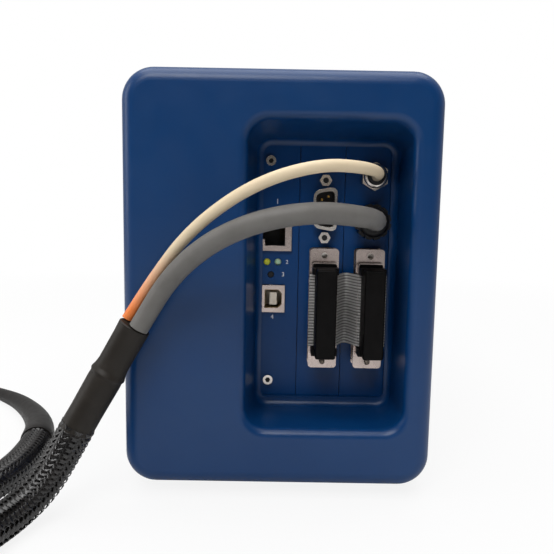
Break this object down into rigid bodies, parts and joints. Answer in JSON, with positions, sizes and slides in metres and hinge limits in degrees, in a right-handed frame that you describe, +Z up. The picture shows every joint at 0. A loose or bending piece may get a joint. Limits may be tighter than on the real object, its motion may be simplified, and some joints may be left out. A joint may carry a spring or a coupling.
{
  "type": "potentiostat",
  "caption": "Benchtop potentiostat: a moulded front bezel round a recessed card cage, with its cell cable looping out of the front.",
  "frame": {"origin": "on the table under the middle of the case's box, cables left out", "axes": "+X to the right seen from the front, +Y towards the back, +Z up"},
  "size_m": [0.3517, 0.505, 0.1743],
  "materials": {
    "moulded_bezel": "satin blue paint on moulded plastic",
    "case_sheet": "slate grey powder coat on folded sheet steel",
    "frame_sheet": "zinc-plated sheet steel",
    "panel_metal": "satin blue paint on aluminium sheet",
    "foot_rubber": "matt black rubber",
    "black_screws": "black oxide steel",
    "bright_screws": "bright nickel plate",
    "connector_shell": "tin-plated steel",
    "connector_plastic": "black moulded insulator",
    "socket_ivory": "ivory moulded insulator",
    "gold_contacts": "gold flash",
    "lamp_yellow": "tinted lens",
    "lamp_green": "tinted lens",
    "button_plastic": "moulded plastic",
    "ribbon_grey": "grey flexible ribbon",
    "gland_nickel": "nickel-plated brass",
    "gland_black": "black nylon",
    "board_green": "solder mask over glass-fibre board",
    "guide_nylon": "natural nylon",
    "supply_case": "plated sheet steel",
    "inlet_plastic": "black thermoplastic",
    "fuse_glass": "clear tube with plated ends",
    "terminal_metal": "plated brass",
    "grey_jacket": "satin grey cable jacket",
    "beige_jacket": "ageing cream cable jacket",
    "shrink_black": "black heat-shrink tube",
    "braid_black": "expandable woven sleeving",
    "lead_jacket": "thin black lead jacket"
  },
  "bodies": {
    "case": {"front_bezel": "moulded_bezel", "front_frame": "frame_sheet", "chassis_tray": "case_sheet", "top_cover": "case_sheet", "rear_panel": "case_sheet", "rubber_feet": "foot_rubber", "case_screws": "black_screws", "controller_panel": "panel_metal", "auxiliary_panel": "panel_metal", "channel_panel": "panel_metal", "captive_screws": "bright_screws", "network_jack_shell": "connector_shell", "network_jack_insert": "connector_plastic", "network_jack_contacts": "gold_contacts", "data_socket_shell": "connector_shell", "data_socket_insert": "socket_ivory", "led_holder": "connector_plastic", "status_led_yellow": "lamp_yellow", "status_led_green": "lamp_green", "reset_switch": "connector_plastic", "serial_port_shell": "connector_shell", "serial_port_insert": "connector_plastic", "serial_port_pins": "gold_contacts", "jackscrews": "bright_screws", "link_sockets": "connector_shell", "link_plug_shells": "connector_shell", "link_plug_bodies": "connector_plastic", "link_plug_covers": "connector_plastic", "ribbon_cable": "ribbon_grey", "hex_gland_body": "gland_nickel", "hex_gland_cap": "gland_nickel", "round_gland_body": "gland_black", "round_gland_cap": "gland_black", "gland_locknuts": "gland_nickel", "controller_board": "board_green", "auxiliary_board": "board_green", "channel_board": "board_green", "card_guides": "guide_nylon", "backplane": "board_green", "backplane_bracket": "frame_sheet", "power_supply": "supply_case", "power_inlet": "inlet_plastic", "fan_frame": "connector_plastic", "earth_terminal": "terminal_metal", "grey_cable": "grey_jacket", "beige_cable": "beige_jacket", "heat_shrink_sleeve": "shrink_black", "braid_lead_in": "braid_black", "braid_coil": "braid_black", "braid_tail": "braid_black", "breakout_sleeve": "shrink_black", "lead_1": "lead_jacket", "lead_2": "lead_jacket", "lead_3": "lead_jacket", "lead_plugs": "lead_jacket"},
    "button": {"reset_button": "button_plastic"},
    "rocker": {"power_rocker": "inlet_plastic"},
    "drawer": {"fuse_drawer": "inlet_plastic", "fuse": "fuse_glass"},
    "rotor": {"fan_rotor": "connector_plastic"}
  },
  "joints": [
    {"name": "reset_press", "type": "slide", "parent": "case", "child": "button", "axis": [0, 1, 0], "range_m": [0, 0.0005], "stiffness_N_per_m": 400, "springref_m": -0.0005},
    {"name": "rocker_turn", "type": "hinge", "parent": "case", "child": "rocker", "pos_m": [-0.036, 0.1385, 0.0665], "axis": [1, 0, 0], "range_deg": [-24, 0]},
    {"name": "drawer_slide", "type": "slide", "parent": "case", "child": "drawer", "axis": [0, 1, 0], "range_m": [0, 0.01]},
    {"name": "fan_spin", "type": "hinge", "parent": "case", "child": "rotor", "pos_m": [0.018, 0.1268, 0.12], "axis": [0, 1, 0], "continuous": true}
  ]
}
